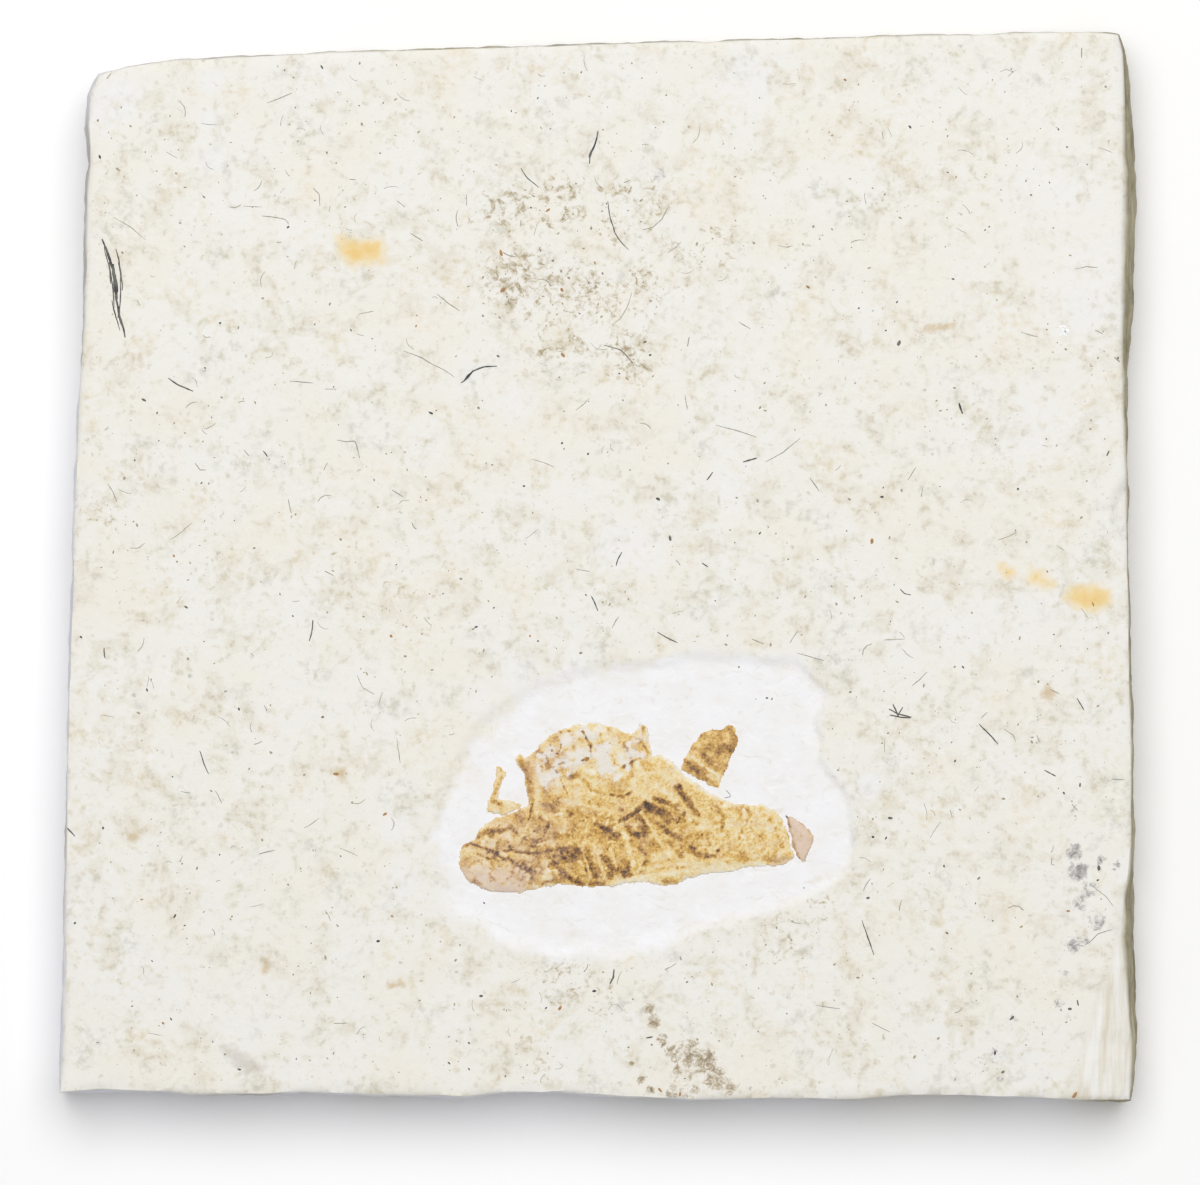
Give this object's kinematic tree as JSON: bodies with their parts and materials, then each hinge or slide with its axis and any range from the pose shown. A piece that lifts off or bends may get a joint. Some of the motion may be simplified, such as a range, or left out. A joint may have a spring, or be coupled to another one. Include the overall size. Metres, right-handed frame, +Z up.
{
  "type": "fossil insect slab",
  "caption": "Sawn tile of pale laminated limestone, lying flat, with an amber-coloured fossil insect in a scraped white hollow on its face.",
  "frame": {"origin": "under the middle of the slab, on the flat underside that it rests on", "axes": "+Z up, out of the face that shows the insect; +X from the insect's head to its tail; +Y towards the slab's upper edge"},
  "size_m": [0.1082, 0.1074, 0.01],
  "materials": {
    "limestone": "sawn and scraped, matt, finely pitted",
    "insect_cuticle": "mineral replaced, iron stained, matt",
    "insect_tail_cuticle": "mineral replaced, rose brown, matt"
  },
  "bodies": {
    "root": {"limestone_slab": "limestone", "insect_body": "insect_cuticle", "insect_hind_leg": "insect_cuticle", "insect_front_leg": "insect_cuticle", "insect_tail_tip": "insect_tail_cuticle"}
  },
  "joints": []
}
